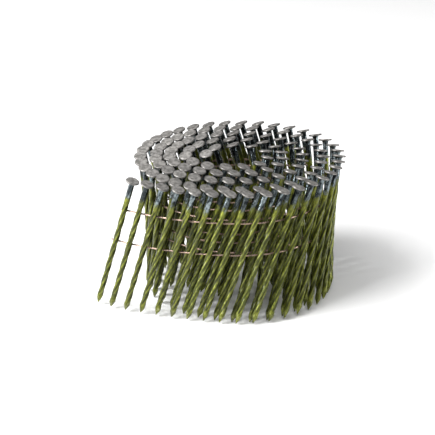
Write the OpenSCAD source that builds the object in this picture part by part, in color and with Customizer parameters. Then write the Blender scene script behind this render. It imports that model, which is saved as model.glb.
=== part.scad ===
// Coil of screw-shank nails for a pneumatic coil nailer, millimetres.
// Every nail leans along the strip and is welded to an upper and a lower collating wire.
// The strip is wound inwards, seen from above counterclockwise, from its free lead end.
// The origin is the axis of the empty core, on the plane that the nail points stand on.
// The first nails are separate links: both wires bend halfway between one nail and the next.

/* [Strip] */
// nails in the whole strip
nail_count = 122; // [100:1:122]
// distance from one nail to the next along the wires
pitch = 8; // [7.5:0.1:9]
// lean of each nail along the strip, degrees
lean = 17.8; // [0:0.1:20]
// spread of the outer turn's heads away from the coil's axis, degrees
spread = 3.7; // [0:0.1:5]

/* [Nail] */
// length over head and point
nail_length = 70; // [60:1:80]
// diameter of the round shank over its flutes
shank_diameter = 2.8; // [2:0.1:3]
// diameter of the flat head
head_diameter = 6.7; // [5:0.1:7]
// thickness of the head at its rim
head_rim = 0.9; // [0.6:0.1:1.5]
// height of the cone under the head
head_cone = 0.8; // [0.2:0.1:1.5]
// length of the four-sided point
point_length = 4.6; // [2:0.1:6]

/* [Wires] */
// diameter of a collating wire
wire_diameter = 0.8; // [0.5:0.1:1.2]
// depth of the weld between a wire and a nail
weld_bite = 0.15; // [0.05:0.05:0.3]
// distance from the head's top down to the upper wire, along the nail
upper_drop = 17.2; // [10:0.1:25]
// distance from the head's top down to the lower wire, along the nail
lower_drop = 34.4; // [26:0.1:45]
// gap between two links' wires, which leaves room for the bend
link_gap = 0.3; // [0.1:0.1:0.6]
// wire left standing past the first and the last nail
stub = 3.6; // [1:0.1:4]

/* [Hidden] */
$fn = 64;

// Winding, as [turns from the front, value]. Turns count up along the strip into the coil.
// radius of the line through the nails, midway between the two wires
RADIUS = [
    [0, 51.8], [0.25, 45.5], [0.75, 45.5], [1, 45.4], [1.22, 38.8], [1.75, 39.4], [2, 33.5], [2.25, 30.9],
    [2.72, 30.6], [3, 23.2], [3.25, 21.2], [3.7, 22.2], [4, 14.7], [4.25, 13.7], [4.45, 12.9], [4.8, 11.4]
];
// the outer turns sit a little to the right of the core's axis
CENTRE = [[1.8, 2.5], [2.3, 0.5], [5, 0]];
// the front of the outer turn rides up a little
LIFT = [[0.1, 1.1], [0.3, 0]];
// share of the spread that is left further in, where the nails stand more upright
SPREAD_SHARE = [[0.72, 1], [1.05, 0.2]];
// the lead end swings away from the coil: winding angle where it starts, and how far it gets
LEAD_ANGLE = 59;
LEAD_FLARE = 14;
// links at the lead end that bend on their own, one node of each kind for every link
FREE_LINKS = 8;

SHANK = shank_diameter / 2;
WIRE = wire_diameter / 2;
MID_DROP = (upper_drop + lower_drop) / 2;

function unit(v) = v / norm(v);
function smooth(x) = (1 - cos(180 * min(max(x, 0), 1))) / 2;
function ease(table, t) =
    t <= table[0][0] ? table[0][1] :
    t >= table[len(table) - 1][0] ? table[len(table) - 1][1] :
    let (i = max([for (k = [0 : len(table) - 2]) if (table[k][0] <= t) k]),
         a = table[i], b = table[i + 1])
    a[1] + (b[1] - a[1]) * smooth((t - a[0]) / (b[0] - a[0]));

// the strip's line at winding angle w, in degrees from the front
function flare(w) = w < 0 ? LEAD_FLARE * pow(-w / LEAD_ANGLE, 2.2) : 0;
function spot(w) =
    let (r = ease(RADIUS, w / 360) + flare(w))
    [ease(CENTRE, w / 360) + r * sin(w), -r * cos(w)];
function step(w, s, tries) =
    tries == 0 ? w + s : step(w, s * pitch / norm(spot(w + s) - spot(w)), tries - 1);
function walk(w, n) = n == 0 ? [] : concat([w], walk(step(w, 10, 8), n - 1));
WINDING = walk(-LEAD_ANGLE, nail_count);

// one nail: where its middle stands, the way along the strip, outwards, and up its shank
function along(w) = unit(spot(w + 0.5) - spot(w - 0.5));
function outwards(w) = [along(w)[1], -along(w)[0]];
function flat_part(i) =
    let (w = WINDING[i],
         full = spread * ease(SPREAD_SHARE, w / 360),
         s = i < 5 ? -1.5 + (full + 1.5) * smooth(i / 5) : full)
    sin(lean) * along(w) + sin(s) * outwards(w);
function up_shank(i) = let (f = flat_part(i)) [f[0], f[1], sqrt(1 - f * f)];
function tip(i) =
    let (p = spot(WINDING[i]), u = up_shank(i), reach = nail_length - MID_DROP)
    [p[0], p[1], reach * u[2] + ease(LIFT, WINDING[i] / 360)] - reach * u;
function side(i) =
    let (o = outwards(WINDING[i]), u = up_shank(i), v = [o[0], o[1], 0]) unit(v - (v * u) * u);
function weld(i, drop) =
    tip(i) + (nail_length - drop) * up_shank(i) - (SHANK + WIRE - weld_bite) * side(i);
function half_way(i, drop) = (weld(i - 1, drop) + weld(i, drop)) / 2;

function last_of_turn(t) = max([for (i = [0 : nail_count - 1]) if (WINDING[i] < 360 * t) i]);

module point_wedge() {
    rotate([90, 0, 0]) linear_extrude(height = 12, center = true) polygon([
        [-0.12, 0], [0.12, 0], [0.12 + 1.2 * SHANK, 1.2 * point_length], [6, 1.3 * point_length],
        [6, nail_length + 1], [-6, nail_length + 1], [-6, 1.3 * point_length],
        [-0.12 - 1.2 * SHANK, 1.2 * point_length]
    ]);
}

module nail_shape() {
    rim = nail_length - head_rim;
    intersection() {
        rotate_extrude() polygon([
            [0, 0], [SHANK, 0], [SHANK, rim - head_cone], [SHANK + 0.7, rim],
            [head_diameter / 2, rim], [head_diameter / 2, nail_length - 0.2],
            [head_diameter / 2 - 0.2, nail_length], [0, nail_length]
        ]);
        point_wedge();
        rotate([0, 0, 90]) point_wedge();
    }
}

module nail(i) {
    x = side(i);
    z = up_shank(i);
    y = cross(z, x);
    t = tip(i);
    multmatrix([
        [x[0], y[0], z[0], t[0]],
        [x[1], y[1], z[1], t[1]],
        [x[2], y[2], z[2], t[2]]
    ]) nail_shape();
}

// a wire through a list of points, eight-sided
module wire(path) {
    n = len(path);
    rings = [for (k = [0 : n - 1])
        let (d = unit(path[min(k + 1, n - 1)] - path[max(k - 1, 0)]),
             a = unit(cross([0, 0, 1], d)), b = cross(d, a))
        for (j = [0 : 7]) path[k] + WIRE * (cos(45 * j) * a + sin(45 * j) * b)];
    walls = [for (k = [0 : n - 2]) for (j = [0 : 7])
        [8 * k + j, 8 * k + 8 + j, 8 * k + 8 + (j + 1) % 8, 8 * k + (j + 1) % 8]];
    polyhedron(rings, concat(walls, [[for (j = [0 : 7]) j], [for (j = [7 : -1 : 0]) 8 * n - 8 + j]]));
}

// the wire's end on the far side of link i's bend, back from the bend's middle by half the gap
function past_bend(i, drop, way) =
    half_way(i, drop) + way * link_gap / 2 * unit(weld(i, drop) - weld(i - 1, drop));

module wound_wire(drop) {
    last = nail_count - 1;
    end = weld(last, drop) + stub * unit(weld(last, drop) - weld(last - 1, drop));
    wire(concat(
        [past_bend(FREE_LINKS, drop, 1)], [for (i = [FREE_LINKS : last]) weld(i, drop)], [end]
    ));
}

module nails_of_turn(t) {
    first = t == 1 ? FREE_LINKS : last_of_turn(t - 1) + 1;
    last = t == 5 ? nail_count - 1 : last_of_turn(t);
    for (i = [first : last]) nail(i);
}

module link_wires(n) {
    i = n - 1;
    for (drop = [upper_drop, lower_drop]) {
        start = i == 0 ? weld(0, drop) - stub * unit(weld(1, drop) - weld(0, drop))
            : past_bend(i, drop, 1);
        wire([start, weld(i, drop), past_bend(i + 1, drop, -1)]);
    }
}

module turn_1_nails() { color("#7f8a3c") nails_of_turn(1); }
module turn_2_nails() { color("#788338") nails_of_turn(2); }
module turn_3_nails() { color("#7f8a3c") nails_of_turn(3); }
module turn_4_nails() { color("#788338") nails_of_turn(4); }
module turn_5_nails() { color("#7f8a3c") nails_of_turn(5); }
module upper_wire() { color("#b07a58") wound_wire(upper_drop); }
module lower_wire() { color("#b07a58") wound_wire(lower_drop); }
module lead_nail_1() { color("#8a9445") nail(0); }
module lead_nail_2() { color("#8a9445") nail(1); }
module lead_nail_3() { color("#8a9445") nail(2); }
module lead_nail_4() { color("#8a9445") nail(3); }
module lead_nail_5() { color("#8a9445") nail(4); }
module lead_nail_6() { color("#8a9445") nail(5); }
module lead_nail_7() { color("#8a9445") nail(6); }
module lead_nail_8() { color("#8a9445") nail(7); }
module link_wires_1() { color("#b07a58") link_wires(1); }
module link_wires_2() { color("#b07a58") link_wires(2); }
module link_wires_3() { color("#b07a58") link_wires(3); }
module link_wires_4() { color("#b07a58") link_wires(4); }
module link_wires_5() { color("#b07a58") link_wires(5); }
module link_wires_6() { color("#b07a58") link_wires(6); }
module link_wires_7() { color("#b07a58") link_wires(7); }
module link_wires_8() { color("#b07a58") link_wires(8); }

turn_1_nails();
turn_2_nails();
turn_3_nails();
turn_4_nails();
turn_5_nails();
upper_wire();
lower_wire();
lead_nail_1();
lead_nail_2();
lead_nail_3();
lead_nail_4();
lead_nail_5();
lead_nail_6();
lead_nail_7();
lead_nail_8();
link_wires_1();
link_wires_2();
link_wires_3();
link_wires_4();
link_wires_5();
link_wires_6();
link_wires_7();
link_wires_8();
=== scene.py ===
"""A wire-collated coil of screw-shank nails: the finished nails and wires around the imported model.

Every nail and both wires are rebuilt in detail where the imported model's own solids stand.
Shapes are worked out in millimetres, and everything handed to Blender is in metres.
"""
import math
import bpy
import numpy as np
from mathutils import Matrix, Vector


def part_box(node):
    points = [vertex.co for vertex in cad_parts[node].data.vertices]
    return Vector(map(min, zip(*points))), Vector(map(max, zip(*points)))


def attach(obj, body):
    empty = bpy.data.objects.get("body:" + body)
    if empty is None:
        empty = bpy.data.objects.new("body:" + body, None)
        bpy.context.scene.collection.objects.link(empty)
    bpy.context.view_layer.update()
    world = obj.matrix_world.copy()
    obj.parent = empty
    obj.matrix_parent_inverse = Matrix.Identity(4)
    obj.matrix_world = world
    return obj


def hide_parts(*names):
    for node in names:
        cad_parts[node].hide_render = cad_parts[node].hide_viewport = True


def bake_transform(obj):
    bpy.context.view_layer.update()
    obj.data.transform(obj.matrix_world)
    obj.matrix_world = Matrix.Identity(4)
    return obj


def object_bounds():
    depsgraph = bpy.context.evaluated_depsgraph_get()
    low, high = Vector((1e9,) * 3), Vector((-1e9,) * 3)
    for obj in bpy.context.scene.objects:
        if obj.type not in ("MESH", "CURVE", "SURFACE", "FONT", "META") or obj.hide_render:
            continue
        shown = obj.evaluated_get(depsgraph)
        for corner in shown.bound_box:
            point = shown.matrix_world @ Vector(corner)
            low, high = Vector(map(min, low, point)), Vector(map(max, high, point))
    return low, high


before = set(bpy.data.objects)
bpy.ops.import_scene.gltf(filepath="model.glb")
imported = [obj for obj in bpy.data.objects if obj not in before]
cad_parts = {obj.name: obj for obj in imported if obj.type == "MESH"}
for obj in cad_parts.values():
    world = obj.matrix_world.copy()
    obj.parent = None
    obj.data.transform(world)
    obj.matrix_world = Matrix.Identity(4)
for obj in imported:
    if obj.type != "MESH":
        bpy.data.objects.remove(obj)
cad_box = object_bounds()

MM = 0.001
TURNS = 5
LINKS = 8

# the strip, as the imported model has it, in mm: SHANK, HEAD and WIRE are radii, a drop is the
# distance below a head's top, and STUB is the wire past the strip's first and last nails
NAIL_LENGTH = 70.0
SHANK = 1.4
HEAD = 3.35
PITCH = 8.0
WIRE = 0.4
WELD_BITE = 0.15
UPPER_DROP = 17.2
LOWER_DROP = 34.4
MID_DROP = (UPPER_DROP + LOWER_DROP) / 2
STUB = 3.6

# one nail's finish, in mm: FLUTE_LEAD is the length of one whole twist, FLUTE_STEP the distance
# between rings of points along the flutes, and the neck's places are heights above the tip
SIDES = 32
FLUTES = 4
FLUTE_DEPTH = 0.25
FLUTE_LEAD = 34.0
FLUTE_STEP = 1.75
RIB_PITCH = 0.8
RIB_COUNT = 14
RIB_DEPTH = 0.15
NECK_TOP = 68.2
NECK_FOOT = NECK_TOP - RIB_COUNT * RIB_PITCH
POINT = 4.6
TIP_FLAT = 0.12

# the small differences between one nail and the next
NAIL_SEED = 7
HEAD_OFF_CENTRE = 0.035
HEAD_TILT = 0.02
HEAD_TILT_MOST = 0.04
HEAD_SUNK = 0.04


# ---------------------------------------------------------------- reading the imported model

def solids(node):
    """The separate solids of a CAD node, each as an array of its own corner points in mm."""
    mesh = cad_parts[node].data
    points = np.zeros(len(mesh.vertices) * 3)
    mesh.vertices.foreach_get("co", points)
    points = points.reshape(-1, 3) / MM
    unique, index = np.unique(np.round(points, 3), axis=0, return_inverse=True)
    index = index.reshape(-1)
    ends = np.zeros(len(mesh.edges) * 2, int)
    mesh.edges.foreach_get("vertices", ends)
    a, b = index[ends.reshape(-1, 2)].T
    label = np.arange(len(unique))
    while True:
        lower = label.copy()
        np.minimum.at(lower, a, label[b])
        np.minimum.at(lower, b, label[a])
        lower = lower[lower]
        if (lower == label).all():
            break
        label = lower
    return [unique[label == k] for k in np.unique(label)]


def unit(v):
    """The vector at length 1."""
    return v / np.linalg.norm(v)


class Nail:
    """Where one nail stands: the middle of its point, its head's top, and the way up its shank."""

    def __init__(self, points, node):
        middle = points.mean(0)
        axis = np.linalg.svd(points - middle)[2][0]
        height = (points - middle) @ axis
        spread = np.linalg.norm(points - middle - height[:, None] * axis, axis=1)
        if spread[height > height.max() - 1].max() < spread[height < height.min() + 1].max():
            axis, height = -axis, -height
        self.top = points[height > height.max() - 0.1].mean(0)
        self.tip = points[height < height.min() + 1].mean(0)
        self.up = unit(self.top - self.tip)
        self.node = node

    def at(self, drop):
        """The point on the nail's axis that far below the head's top."""
        return self.top - drop * self.up


def nails_of(node):
    """The nails of a CAD node, one from each of its solids."""
    return [Nail(points, node) for points in solids(node)]


def in_order(nails):
    """The nails in their order along the strip, from the free end, one pitch apart in plan."""
    first = next(n for n in nails if n.node == "lead_nail_1")
    second = next(n for n in nails if n.node == "lead_nail_2")
    chain = [first, second]
    left = [n for n in nails if n not in chain]
    while left:
        here = chain[-1].at(MID_DROP)[:2]
        ahead = here - chain[-2].at(MID_DROP)[:2]
        where = np.array([n.at(MID_DROP)[:2] for n in left]) - here
        away = np.linalg.norm(where, axis=1)
        turned = where @ unit(ahead) / away
        score = np.where(abs(away - PITCH) < 0.1, turned, -2)
        chain.append(left.pop(int(score.argmax())))
    return chain


def set_sides(chain):
    """Gives each nail its outward side: across the strip and square to the shank."""
    plan = np.array([n.at(MID_DROP)[:2] for n in chain])
    for i, nail in enumerate(chain):
        along = plan[min(i + 1, len(chain) - 1)] - plan[max(i - 1, 0)]
        outwards = np.array([along[1], -along[0], 0.0])
        nail.side = unit(outwards - (outwards @ nail.up) * nail.up)


# ---------------------------------------------------------------- meshes

SHARP_ANGLE = math.radians(50)


def mesh_object(name, points, faces, values, material):
    """An object from points in mm, with one float attribute on its points for each of values."""
    mesh = bpy.data.meshes.new(name)
    mesh.from_pydata((np.asarray(points) * MM).tolist(), [], faces)
    for key, value in values.items():
        attribute = mesh.attributes.new(key, "FLOAT", "POINT")
        attribute.data.foreach_set("value", np.asarray(value, np.float32))
    mesh.materials.append(material)
    mesh.shade_smooth()
    mesh.set_sharp_from_angle(angle=SHARP_ANGLE)
    mesh.validate()
    piece = bpy.data.objects.new(name, mesh)
    bpy.context.scene.collection.objects.link(piece)
    return piece


def tube_faces(rings, sides, first=0):
    """Faces of a closed tube: its walls ring by ring and a flat cap on each end."""
    k = np.arange(sides)
    after = (k + 1) % sides
    walls = []
    for ring in range(rings - 1):
        low = first + ring * sides
        walls += np.stack([low + k, low + after, low + sides + after, low + sides + k], 1).tolist()
    last = first + (rings - 1) * sides
    return walls + [(first + k[::-1]).tolist(), (last + k).tolist()]


def smooth(x):
    """A soft step from 0 to 1 as x goes from 0 to 1."""
    x = np.clip(x, 0, 1)
    return x * x * (3 - 2 * x)


def shank_heights():
    """Heights of a shank's rings above its tip: the point, the fluted length and the ribbed neck."""
    point = [0, 0.5, 1.3, 2.1, 2.87, 3.5, 4.2]
    count = round((NECK_FOOT - POINT) / FLUTE_STEP)
    fluted = np.linspace(POINT + 0.2, NECK_FOOT, count, endpoint=False)
    neck = NECK_FOOT + np.arange(2 * RIB_COUNT) * RIB_PITCH / 2
    return np.concatenate([point, fluted, neck, [NECK_TOP]])


def shank_rings():
    """Height, radius and angle of every point of a shank, and how deep it lies in a flute."""
    height = shank_heights()
    angle = np.arange(SIDES) * 2 * math.pi / SIDES
    z, a = np.meshgrid(height, angle, indexing="ij")
    # the flutes run out softly at the point and at the neck
    fluted = smooth((z - POINT + 0.6) / 2.5) * smooth((NECK_FOOT + 2.5 - z) / 5)
    valley = (0.5 - 0.5 * np.cos(FLUTES * a)) ** 0.75
    radius = SHANK - FLUTE_DEPTH * fluted * valley
    # every second ring of the neck is a groove that the gripping dies pressed from two sides
    number = np.round((z - NECK_FOOT) / (RIB_PITCH / 2))
    ribbed = (z > NECK_FOOT - 0.1) & (z < NECK_TOP - 0.1) & (number % 2 == 0)
    gripped = 0.35 + 0.65 * abs(np.cos(a)) ** 0.7
    radius = radius - np.where(ribbed, RIB_DEPTH * gripped, 0)
    # the point is a cut pyramid with four sides
    half = TIP_FLAT + SHANK * z / POINT
    square = half / np.maximum(abs(np.cos(a)), abs(np.sin(a)))
    radius = np.minimum(radius, square)
    turned = a + 2 * math.pi * np.maximum(z - POINT, 0) / FLUTE_LEAD
    groove = fluted * valley
    return z, radius, turned, groove


# a head's rings, from the cone under it to its middle: mm below its top, and share of its radius
HEAD_RINGS = [
    [1.62, 0.425], [1.3, 0.48], [1.05, 0.57], [0.93, 0.66], [0.9, 0.9], [0.8, 0.965], [0.5, 0.99],
    [0.2, 0.975], [0.07, 0.935], [0.03, 0.87], [0.045, 0.62], [0.075, 0.42], [0.05, 0.26], [0.045, 0.12],
]


def head_rings(random):
    """Height, radius and angle of a head's points. Its outline and its top are a little uneven."""
    angle = np.arange(SIDES) * 2 * math.pi / SIDES
    phase = random.uniform(0, 2 * math.pi, 4)
    size = random.uniform(0.4, 1, 3) * [0.014, 0.01, 0.006]
    outline = 1 - sum(s * (1 + np.cos(n * angle + p)) for s, n, p in zip(size, (2, 3, 5), phase))
    drop, share = np.array(HEAD_RINGS).T
    rim = smooth((share - 0.45) / 0.4)
    radius = HEAD * share[:, None] * (1 + rim[:, None] * (outline - 1))
    pressed = 0.02 * np.cos(2 * angle + phase[3]) * rim[:, None] + 0.015
    z = NAIL_LENGTH - drop[:, None] - pressed * (drop[:, None] < 0.3)
    return z, radius, np.broadcast_to(angle, radius.shape)


def nail_points(nail, random):
    """Points of one finished nail in mm, its values for the material, and its number of rings."""
    z, radius, turned, groove = shank_rings()
    head_z, head_radius, head_angle = head_rings(random)
    spin = random.uniform(0, 2 * math.pi)
    turned = np.concatenate([turned, head_angle + turned[-1, 0]]) + spin
    height = np.concatenate([z, head_z])
    radius = np.concatenate([radius, head_radius])
    groove = np.concatenate([groove, np.zeros(head_z.shape)])
    x = nail.side
    y = np.cross(nail.up, x)
    sideways = random.normal(0, HEAD_OFF_CENTRE, 2)
    tilt = np.clip(random.normal(0, HEAD_TILT, 2), -HEAD_TILT_MOST, HEAD_TILT_MOST)
    local_x = radius * np.cos(turned)
    local_y = radius * np.sin(turned)
    on_head = smooth((height - NECK_TOP) / 0.8)
    tilted = height + on_head * (tilt[0] * local_x + tilt[1] * local_y - HEAD_SUNK)
    points = (
        nail.tip
        + (local_x + on_head * sideways[0])[..., None] * x
        + (local_y + on_head * sideways[1])[..., None] * y
        + tilted[..., None] * nail.up
    )
    rings = len(height)
    # drop is mm below the top, groove how far the point lies down a flute, reach its distance from
    # the axis as a share of the head's radius, grain the nail's own number, and turn goes from 0 to
    # 1 and back once round the nail
    values = {
        "drop": (NAIL_LENGTH - height).ravel(),
        "groove": groove.ravel(),
        "reach": (radius / HEAD).ravel(),
        "grain": np.full(rings * SIDES, random.uniform()),
        "turn": np.tile(1 - 2 * abs(np.arange(SIDES) / SIDES - 0.5), rings),
    }
    return points.reshape(-1, 3), values, rings


def nail_piece(name, nails, body, node, material, random):
    """The finished nails of one CAD node, as one piece on the node's body."""
    points, faces, values = [], [], {}
    first = 0
    for nail in nails:
        own, own_values, rings = nail_points(nail, random)
        points.append(own)
        faces += tube_faces(rings, SIDES, first)
        for key, value in own_values.items():
            values.setdefault(key, []).append(value)
        first += len(own)
    joined = {key: np.concatenate(value) for key, value in values.items()}
    piece = mesh_object(name, np.concatenate(points), faces, joined, material)
    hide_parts(node)
    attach(piece, body)


# ---------------------------------------------------------------- wires

WIRE_SIDES = 12
# rings of points near a weld, as distances from it in mm
WELD_RINGS = [0, 0.3, 0.6, 0.85, 1.1, 1.5, 2.3, 3.1]
# rings of a cut end, as distances from the last weld in mm, and the wire's thickness at each
STUB_RINGS = [0, 0.3, 0.6, 0.85, 1.1, 1.5, 2.2, 3.0, STUB - 0.25, STUB - 0.08, STUB]
STUB_SHARES = [1, 1, 1, 1, 1, 1, 1, 1, 0.97, 0.8, 0.5]
# a weld: half its length along the wire, how far it swells the wire up and out, and how far it
# moves the wire's middle
WELD_REACH = 0.75
WELD_RISE = 0.5
WELD_SPREAD = 0.12
WELD_SHIFT = 0.07


def weld(nail, drop):
    """The wire's middle where it is welded to a nail, on the inner side of the shank."""
    return nail.at(drop) - (SHANK + WIRE - WELD_BITE) * nail.side


def past_end(nail, neighbour, drop):
    """Where a wire ends beyond the strip's first or last nail."""
    here = weld(nail, drop)
    return here + STUB * unit(here - weld(neighbour, drop))


def wire_stretch(chain, i, drop):
    """Ring middles, ways ahead, ways up and distances to a weld, from nail i to nail i + 1.

    The wire follows a smooth curve through the welds, so it also needs the welds before and after.
    """
    corner = [weld(chain[k], drop) for k in (max(i - 1, 0), i, i + 1, min(i + 2, len(chain) - 1))]
    if i == 0:
        corner[0] = corner[1] + (corner[1] - corner[2])
    if i + 2 >= len(chain):
        corner[3] = corner[2] + (corner[2] - corner[1])
    length = np.linalg.norm(corner[2] - corner[1])
    near = np.array(WELD_RINGS)
    away = np.concatenate([near, [length / 2], (length - near)[::-1]])
    t = (away / length)[:, None]
    p0, p1, p2, p3 = corner
    line = p2 - p0
    square = 2 * p0 - 5 * p1 + 4 * p2 - p3
    cube = 3 * p1 - p0 - 3 * p2 + p3
    middle = 0.5 * (2 * p1 + line * t + square * t**2 + cube * t**3)
    ahead = 0.5 * (line + 2 * square * t + 3 * cube * t**2)
    up = (1 - t) * chain[i].up + t * chain[i + 1].up
    return middle, ahead, up, np.minimum(away, length - away)


def wire_rings(middle, ahead, up, from_weld, share=1.0):
    """Rings of points around a wire, which each weld swells. share is the thickness that is left."""
    ahead = ahead / np.linalg.norm(ahead, axis=1)[:, None]
    out = np.cross(ahead, up)
    out = out / np.linalg.norm(out, axis=1)[:, None]
    rise = np.cross(out, ahead)
    a = np.arange(WIRE_SIDES) * 2 * math.pi / WIRE_SIDES
    swell = np.exp(-((from_weld / WELD_REACH) ** 2))
    high = WIRE * (1 + WELD_RISE * swell) * share
    wide = WIRE * (1 + WELD_SPREAD * swell) * share
    shift = WELD_SHIFT * swell
    return (
        middle[:, None]
        + (shift[:, None] + wide[:, None] * np.cos(a))[..., None] * out[:, None]
        + (high[:, None] * np.sin(a))[..., None] * rise[:, None]
    )


def wire_stub(chain, at_start, drop):
    """Rings of a wire's cut end past the first or last nail, which the cutter pinched narrower."""
    nail, neighbour = (chain[0], chain[1]) if at_start else (chain[-1], chain[-2])
    here = weld(nail, drop)
    there = past_end(nail, neighbour, drop)
    away = np.array(STUB_RINGS)
    share = np.array(STUB_SHARES)
    middle = here + (away / STUB)[:, None] * (there - here)
    ahead = np.broadcast_to(there - here, middle.shape)
    if at_start:
        middle, ahead, away, share = middle[::-1], -ahead, away[::-1], share[::-1]
    up = np.broadcast_to(nail.up, middle.shape)
    return wire_rings(middle, ahead, up, away, share)


def wire_piece(name, runs, material):
    """One piece from runs of wire rings; each run is a closed tube."""
    points, faces, first = [], [], 0
    for rings in runs:
        points.append(rings.reshape(-1, 3))
        faces += tube_faces(len(rings), WIRE_SIDES, first)
        first += rings.shape[0] * WIRE_SIDES
    piece = mesh_object(name, np.concatenate(points), faces, {}, material)
    return piece


def run_of(chain, first, last, drop):
    """Wire rings from nail number first to nail number last, without doubled rings at the welds."""
    parts = [wire_rings(*wire_stretch(chain, i, drop)) for i in range(first, last)]
    return np.concatenate([p[:-1] for p in parts[:-1]] + [parts[-1]])


def make_wires(chain, material):
    """The free ends, one stretch of wire for each link, and the two wires of the wound coil."""
    stubs = [wire_stub(chain, True, drop) for drop in (UPPER_DROP, LOWER_DROP)]
    end = wire_piece("free_wire_ends", stubs, material)
    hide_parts("link_wires_1")
    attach(end, "link_1")
    for k in range(1, LINKS + 1):
        runs = [run_of(chain, k - 1, k, drop) for drop in (UPPER_DROP, LOWER_DROP)]
        piece = wire_piece(f"bending_wires_{k}", runs, material)
        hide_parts(f"link_wires_{k}")
        ahead = chain[k].at(MID_DROP) - chain[k - 1].at(MID_DROP)
        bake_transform(piece)
    for name, drop in (("upper", UPPER_DROP), ("lower", LOWER_DROP)):
        wound = run_of(chain, LINKS, len(chain) - 1, drop)
        runs = [np.concatenate([wound[:-1], wire_stub(chain, False, drop)])]
        piece = wire_piece(f"{name}_collating_wire", runs, material)
        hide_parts(f"{name}_wire")
        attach(piece, "coil")


# ---------------------------------------------------------------- materials

def colour(red, green, blue):
    """A linear colour with full alpha."""
    return (red, green, blue, 1)


# bare steel, and what its rims (a painted shade), its streaks (painted reflections) and duller nails are
# multiplied by
HEAD_BRIGHT = colour(0.55, 0.53, 0.505)
HEAD_DULL = colour(0.27, 0.26, 0.245)
RIM_PAINTED_SHADE = colour(0.5, 0.5, 0.5)
NECK_BRIGHT = colour(0.15, 0.178, 0.185)
NECK_DULL = colour(0.014, 0.02, 0.024)
PAINTED_REFLECTION_DARK = colour(0.25, 0.25, 0.25)
PAINTED_REFLECTION_LIGHT = colour(1.6, 1.6, 1.6)
DULL_NAIL_SHADE = colour(0.7, 0.7, 0.72)

# lacquer, and what its flutes (a painted shade), scratches and thin film are multiplied by
LACQUER_DARK = colour(0.062, 0.078, 0.003)
LACQUER_BRIGHT = colour(0.17, 0.185, 0.018)
LACQUER_BROWN = colour(0.09, 0.092, 0.008)
LACQUER_WORN = colour(0.26, 0.27, 0.14)
FLUTE_PAINTED_SHADE = colour(0.12, 0.13, 0.12)
SCRATCH_SHADE = colour(0.4, 0.42, 0.36)
SCRATCH_SHINE = colour(1.25, 1.25, 1.3)
THIN_FILM_SHINE = colour(1.25, 1.2, 1.4)

# copper-washed wire
WASH_BRIGHT = colour(0.4, 0.28, 0.22)
WASH_DULL = colour(0.16, 0.12, 0.1)
WASH_RUBBED = colour(0.5, 0.42, 0.36)

# drops in mm between which the head's finish becomes the neck's
HEAD_TO_NECK = (0.85, 1.1)
# the lacquer starts and is full at these drops in mm, once up to LACQUER_RAGGED mm of noise is
# added to the drop and up to LACQUER_UNEVEN mm is taken off it, nail by nail
LACQUER_STARTS = 9.3
LACQUER_FULL = 13.1
LACQUER_RAGGED = 5.0
LACQUER_UNEVEN = 1.8
# metres of noise passed on the way to the far side of the shank, and on each mm down it
STREAKS_ROUND = 0.0028
STREAKS_ALONG = 0.00006
# the wave of the rings pressed into a head, in radians over its radius
DIE_MARKS = 26.0
# the depth of the bumps in metres
NAIL_RELIEF = 0.00006
WIRE_RELIEF = 0.00003


def add(tree, kind, inputs=None, **settings):
    """A shader node with its settings, and its inputs as values or as links."""
    node = tree.nodes.new("ShaderNode" + kind)
    for key, value in settings.items():
        setattr(node, key, value)
    for key, value in (inputs or {}).items():
        if isinstance(value, bpy.types.NodeSocket):
            tree.links.new(value, node.inputs[key])
        else:
            node.inputs[key].default_value = value
    return node


def new_material(name):
    """A material with one surface shader, its node tree and the shader."""
    material = bpy.data.materials.new(name)
    material.use_nodes = True
    tree = material.node_tree
    tree.nodes.clear()
    shader = add(tree, "BsdfPrincipled")
    add(tree, "OutputMaterial", {"Surface": shader.outputs[0]})
    return material, tree, shader


def mix(tree, factor, a, b):
    """Colour a where factor is 0, and b where it is 1."""
    return add(tree, "Mix", {0: factor, 6: a, 7: b}, data_type="RGBA").outputs[2]


def multiply(tree, a, b):
    """Two colours multiplied."""
    inputs = {0: 1.0, 6: a, 7: b}
    return add(tree, "Mix", inputs, data_type="RGBA", blend_type="MULTIPLY").outputs[2]


def shaded(tree, factor, base, shade):
    """The base colour, multiplied by shade where factor is 1."""
    return mix(tree, factor, base, multiply(tree, base, shade))


def varied(tree, factor, base, shade, shine):
    """The base colour, multiplied by shade where factor is 0 and by shine where it is 1."""
    return multiply(tree, base, mix(tree, factor, shade, shine))


def ramp(tree, value, start, stop, low=0.0, high=1.0):
    """A soft step from low to high as value goes from start to stop."""
    inputs = {"Value": value, "From Min": start, "From Max": stop, "To Min": low, "To Max": high}
    return add(tree, "MapRange", inputs, interpolation_type="SMOOTHSTEP").outputs[0]


def combine(tree, operation, a, b):
    """Two numbers put together by a Math operation."""
    return add(tree, "Math", {0: a, 1: b}, operation=operation).outputs[0]


def noise(tree, place, size_mm, detail=3.0, roughness=0.55):
    """Noise from 0 to 1 with patches of about that size."""
    inputs = {"Vector": place, "Scale": 1 / (size_mm * MM), "Detail": detail, "Roughness": roughness}
    return add(tree, "TexNoise", inputs).outputs[0]


def value_of(tree, name):
    """One of the values that nail_points left on the mesh."""
    return add(tree, "Attribute", attribute_name=name).outputs["Fac"]


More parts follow.
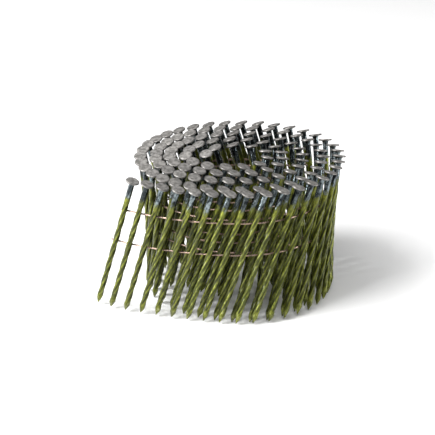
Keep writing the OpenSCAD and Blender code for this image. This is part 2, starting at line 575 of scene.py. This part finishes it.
def steel_colour(tree, drop, reach, grain, blotch, along_shank):
    """Bare steel: warm on the struck head with a painted shade round its rim, cooler and darker on the
    neck, with light and dark streaks painted there as reflections.
    """
    head = mix(tree, ramp(tree, blotch, 0.35, 0.65), HEAD_BRIGHT, HEAD_DULL)
    # painted shade: the top of each head darkens towards its rim, as a dark outline
    head = shaded(tree, ramp(tree, reach, 0.8, 0.95), head, RIM_PAINTED_SHADE)
    neck = mix(tree, ramp(tree, blotch, 0.35, 0.7), NECK_BRIGHT, NECK_DULL)
    # painted reflections: light and dark streaks run down each neck
    painted_reflection_streak = ramp(tree, noise(tree, along_shank, 1.0, 3.0), 0.4, 0.62)
    neck = varied(tree, painted_reflection_streak, neck, PAINTED_REFLECTION_DARK, PAINTED_REFLECTION_LIGHT)
    bare = mix(tree, ramp(tree, drop, *HEAD_TO_NECK), head, neck)
    return shaded(tree, ramp(tree, grain, 0.0, 1.0, 0.0, 0.35), bare, DULL_NAIL_SHADE)


def lacquer_colour(tree, drop, groove, grain, broad, blotch, along_shank):
    """Lacquer: darkened deep in the flutes by a painted shade, rubbed thin along their crests, and
    scratched.
    """
    full = mix(tree, ramp(tree, blotch, 0.3, 0.7), LACQUER_DARK, LACQUER_BRIGHT)
    full = mix(tree, ramp(tree, grain, 0.0, 1.0, 0.0, 0.3), full, LACQUER_BROWN)
    # painted shade: the lacquer is darkened deep in each flute
    coat = shaded(tree, ramp(tree, groove, 0.25, 1.0, 0.0, 0.85), full, FLUTE_PAINTED_SHADE)
    crest = combine(tree, "MULTIPLY", ramp(tree, groove, 0.35, 0.0), ramp(tree, blotch, 0.5, 0.66))
    crest = combine(tree, "MULTIPLY", crest, ramp(tree, drop, 13.0, 18.0))
    worn = combine(tree, "MULTIPLY", crest, ramp(tree, broad, 0.4, 0.6, 0.2, 0.8))
    coat = mix(tree, worn, coat, LACQUER_WORN)
    scratch = ramp(tree, noise(tree, along_shank, 0.4, 4.0, 0.6), 0.38, 0.6)
    return varied(tree, scratch, coat, SCRATCH_SHADE, SCRATCH_SHINE)


def nail_material():
    """Bright drawn steel at the head and neck, running unevenly into a thin yellow-green lacquer."""
    material, tree, shader = new_material("coated_steel_nail")
    place = add(tree, "TexCoord").outputs["Object"]
    drop = value_of(tree, "drop")
    groove = value_of(tree, "groove")
    grain = value_of(tree, "grain")
    reach = value_of(tree, "reach")
    turn = value_of(tree, "turn")
    broad = noise(tree, place, 6.0, 2.0)
    blotch = noise(tree, place, 1.6, 4.0)
    fine = noise(tree, place, 0.3, 3.0)
    round_shank = combine(tree, "MULTIPLY", turn, STREAKS_ROUND)
    down_shank = combine(tree, "MULTIPLY", drop, STREAKS_ALONG)
    stretch = add(tree, "CombineXYZ", {"X": round_shank, "Y": down_shank, "Z": grain})
    along_shank = stretch.outputs[0]
    bare = steel_colour(tree, drop, reach, grain, blotch, along_shank)
    coat = lacquer_colour(tree, drop, groove, grain, broad, blotch, along_shank)

    # the ragged line where the lacquer starts, and the thin film just below it
    ragged = combine(tree, "ADD", drop, combine(tree, "MULTIPLY", blotch, LACQUER_RAGGED))
    edge = combine(tree, "ADD", ragged, combine(tree, "MULTIPLY", grain, -LACQUER_UNEVEN))
    covered = ramp(tree, edge, LACQUER_STARTS, LACQUER_FULL)
    coat = shaded(tree, ramp(tree, edge, 21.5, 11.0, 0.0, 0.45), coat, THIN_FILM_SHINE)
    tree.links.new(mix(tree, covered, bare, coat), shader.inputs["Base Color"])

    # the struck head is rougher than the drawn neck
    neck_rough = ramp(tree, fine, 0.3, 0.75, 0.2, 0.36)
    bare_rough = combine(tree, "ADD", neck_rough, ramp(tree, drop, *HEAD_TO_NECK, 0.26, 0.0))
    coat_rough = ramp(tree, blotch, 0.3, 0.7, 0.3, 0.46)
    rougher = combine(tree, "SUBTRACT", coat_rough, bare_rough)
    rough = combine(tree, "ADD", bare_rough, combine(tree, "MULTIPLY", covered, rougher))
    tree.links.new(rough, shader.inputs["Roughness"])
    tree.links.new(ramp(tree, covered, 0.0, 1.0, 1.0, 0.6), shader.inputs["Metallic"])
    shader.inputs["Coat Weight"].default_value = 0.08
    shader.inputs["Coat Roughness"].default_value = 0.25

    # die marks on the head, and small dents and lacquer ripples everywhere
    wave = combine(tree, "MULTIPLY", reach, DIE_MARKS)
    marks = add(tree, "Math", {0: wave}, operation="SINE").outputs[0]
    struck = combine(tree, "MULTIPLY", marks, ramp(tree, drop, 0.6, 0.2, 0.0, 0.35))
    relief = combine(tree, "ADD", combine(tree, "ADD", fine, blotch), struck)
    bump = add(tree, "Bump", {"Strength": 0.5, "Distance": NAIL_RELIEF, "Height": relief})
    tree.links.new(bump.outputs[0], shader.inputs["Normal"])
    return material


def wire_material():
    """Drawn steel wire with a thin copper wash, darker where it has dulled."""
    material, tree, shader = new_material("copper_washed_wire")
    place = add(tree, "TexCoord").outputs["Object"]
    blotch = noise(tree, place, 1.2, 4.0)
    fine = noise(tree, place, 0.15, 2.0)
    wash = mix(tree, ramp(tree, blotch, 0.35, 0.68), WASH_BRIGHT, WASH_DULL)
    base = mix(tree, ramp(tree, fine, 0.58, 0.75), wash, WASH_RUBBED)
    tree.links.new(base, shader.inputs["Base Color"])
    tree.links.new(ramp(tree, blotch, 0.3, 0.7, 0.26, 0.44), shader.inputs["Roughness"])
    shader.inputs["Metallic"].default_value = 1.0
    bump = add(tree, "Bump", {"Strength": 0.4, "Distance": WIRE_RELIEF, "Height": fine})
    tree.links.new(bump.outputs[0], shader.inputs["Normal"])
    return material


# ---------------------------------------------------------------- studio

CAMERA_ELEVATION = math.radians(22.04)
CAMERA_DISTANCE = 0.9257
CAMERA_LENS = 157.65
CAMERA_SHIFT = (-0.0513, 0.003)
FLOOR_SIZE = 6.0
FLOOR_COLOUR = colour(0.85, 0.85, 0.85)
ROOM_LIGHT = 0.02
BACKDROP_LIGHT = 1.2
# name, place and size in metres, and power in watts
LIGHTS = [
    ("left", (-0.75, -0.4, 0.9), (0.8, 0.8), 32),
    ("right", (1.0, 0.05, 0.45), (0.3, 0.5), 2.5),
    ("front", (0.1, -0.6, 1.15), (0.9, 0.5), 6),
    ("low_left", (-0.97, -0.42, 0.16), (0.12, 0.26), 10),
    ("low_right", (0.95, -0.35, 0.16), (0.08, 0.26), 4.5),
]


def make_floor(level):
    """A plain pale floor at that height."""
    mesh = bpy.data.meshes.new("floor")
    half = FLOOR_SIZE / 2
    corners = [(x * half, y * half, level) for x, y in ((-1, -1), (1, -1), (1, 1), (-1, 1))]
    mesh.from_pydata(corners, [], [(0, 1, 2, 3)])
    floor = bpy.data.objects.new("floor", mesh)
    bpy.context.scene.collection.objects.link(floor)
    material, _, shader = new_material("pale_floor")
    shader.inputs["Base Color"].default_value = FLOOR_COLOUR
    shader.inputs["Roughness"].default_value = 0.9
    shader.inputs["Specular IOR Level"].default_value = 0.1
    mesh.materials.append(material)


def make_light(name, place, target, size, power):
    """A soft box that faces the target."""
    light = bpy.data.lights.new(name, "AREA")
    light.shape = "RECTANGLE"
    light.size, light.size_y = size
    light.energy = power
    box = bpy.data.objects.new(name, light)
    box.location = place
    box.rotation_euler = (Vector(target) - Vector(place)).to_track_quat("-Z", "Y").to_euler()
    bpy.context.scene.collection.objects.link(box)


def make_world():
    """A dark studio with a lit white backdrop high behind the object."""
    world = bpy.data.worlds.new("studio")
    world.use_nodes = True
    tree = world.node_tree
    direction = add(tree, "TexCoord").outputs["Generated"]
    split = add(tree, "SeparateXYZ", {"Vector": direction})
    behind = ramp(tree, split.outputs["Y"], 0.3, 0.95)
    raised = ramp(tree, split.outputs["Z"], 0.25, 0.7)
    lit = combine(tree, "MULTIPLY", behind, raised)
    background = tree.nodes["Background"]
    tree.links.new(ramp(tree, lit, 0.0, 1.0, ROOM_LIGHT, BACKDROP_LIGHT), background.inputs["Strength"])
    background.inputs["Color"].default_value = colour(1, 1, 1)
    bpy.context.scene.world = world


def make_camera(target):
    """A camera at the photograph's viewing angle, on the coil's front side."""
    camera = bpy.data.cameras.new("camera")
    camera.lens = CAMERA_LENS
    camera.shift_x, camera.shift_y = CAMERA_SHIFT
    eye = bpy.data.objects.new("camera", camera)
    backwards = Vector((0, -math.cos(CAMERA_ELEVATION), math.sin(CAMERA_ELEVATION)))
    eye.location = Vector(target) + CAMERA_DISTANCE * backwards
    eye.rotation_euler = (Vector(target) - eye.location).to_track_quat("-Z", "Y").to_euler()
    bpy.context.scene.collection.objects.link(eye)
    bpy.context.scene.camera = eye


def main():
    """The studio first, and then the nails and the wires."""
    low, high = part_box("turn_1_nails")
    target = (low + high) / 2
    make_camera(target)
    make_world()
    make_floor(cad_box[0].z)
    for name, place, size, power in LIGHTS:
        make_light(name, place, target, size, power)
    bpy.context.scene.view_settings.view_transform = "Standard"

    lead = [f"lead_nail_{k}" for k in range(1, LINKS + 1)]
    turns = [f"turn_{t}_nails" for t in range(1, TURNS + 1)]
    chain = in_order([nail for node in lead + turns for nail in nails_of(node)])
    set_sides(chain)

    coated = nail_material()
    random = np.random.default_rng(NAIL_SEED)
    for k, node in enumerate(lead, 1):
        nails = [n for n in chain if n.node == node]
        nail_piece(f"lead_screw_nail_{k}", nails, f"link_{k}", node, coated, random)
    for t, node in enumerate(turns, 1):
        nails = [n for n in chain if n.node == node]
        nail_piece(f"turn_{t}_screw_nails", nails, "coil", node, coated, random)
    make_wires(chain, wire_material())


main()
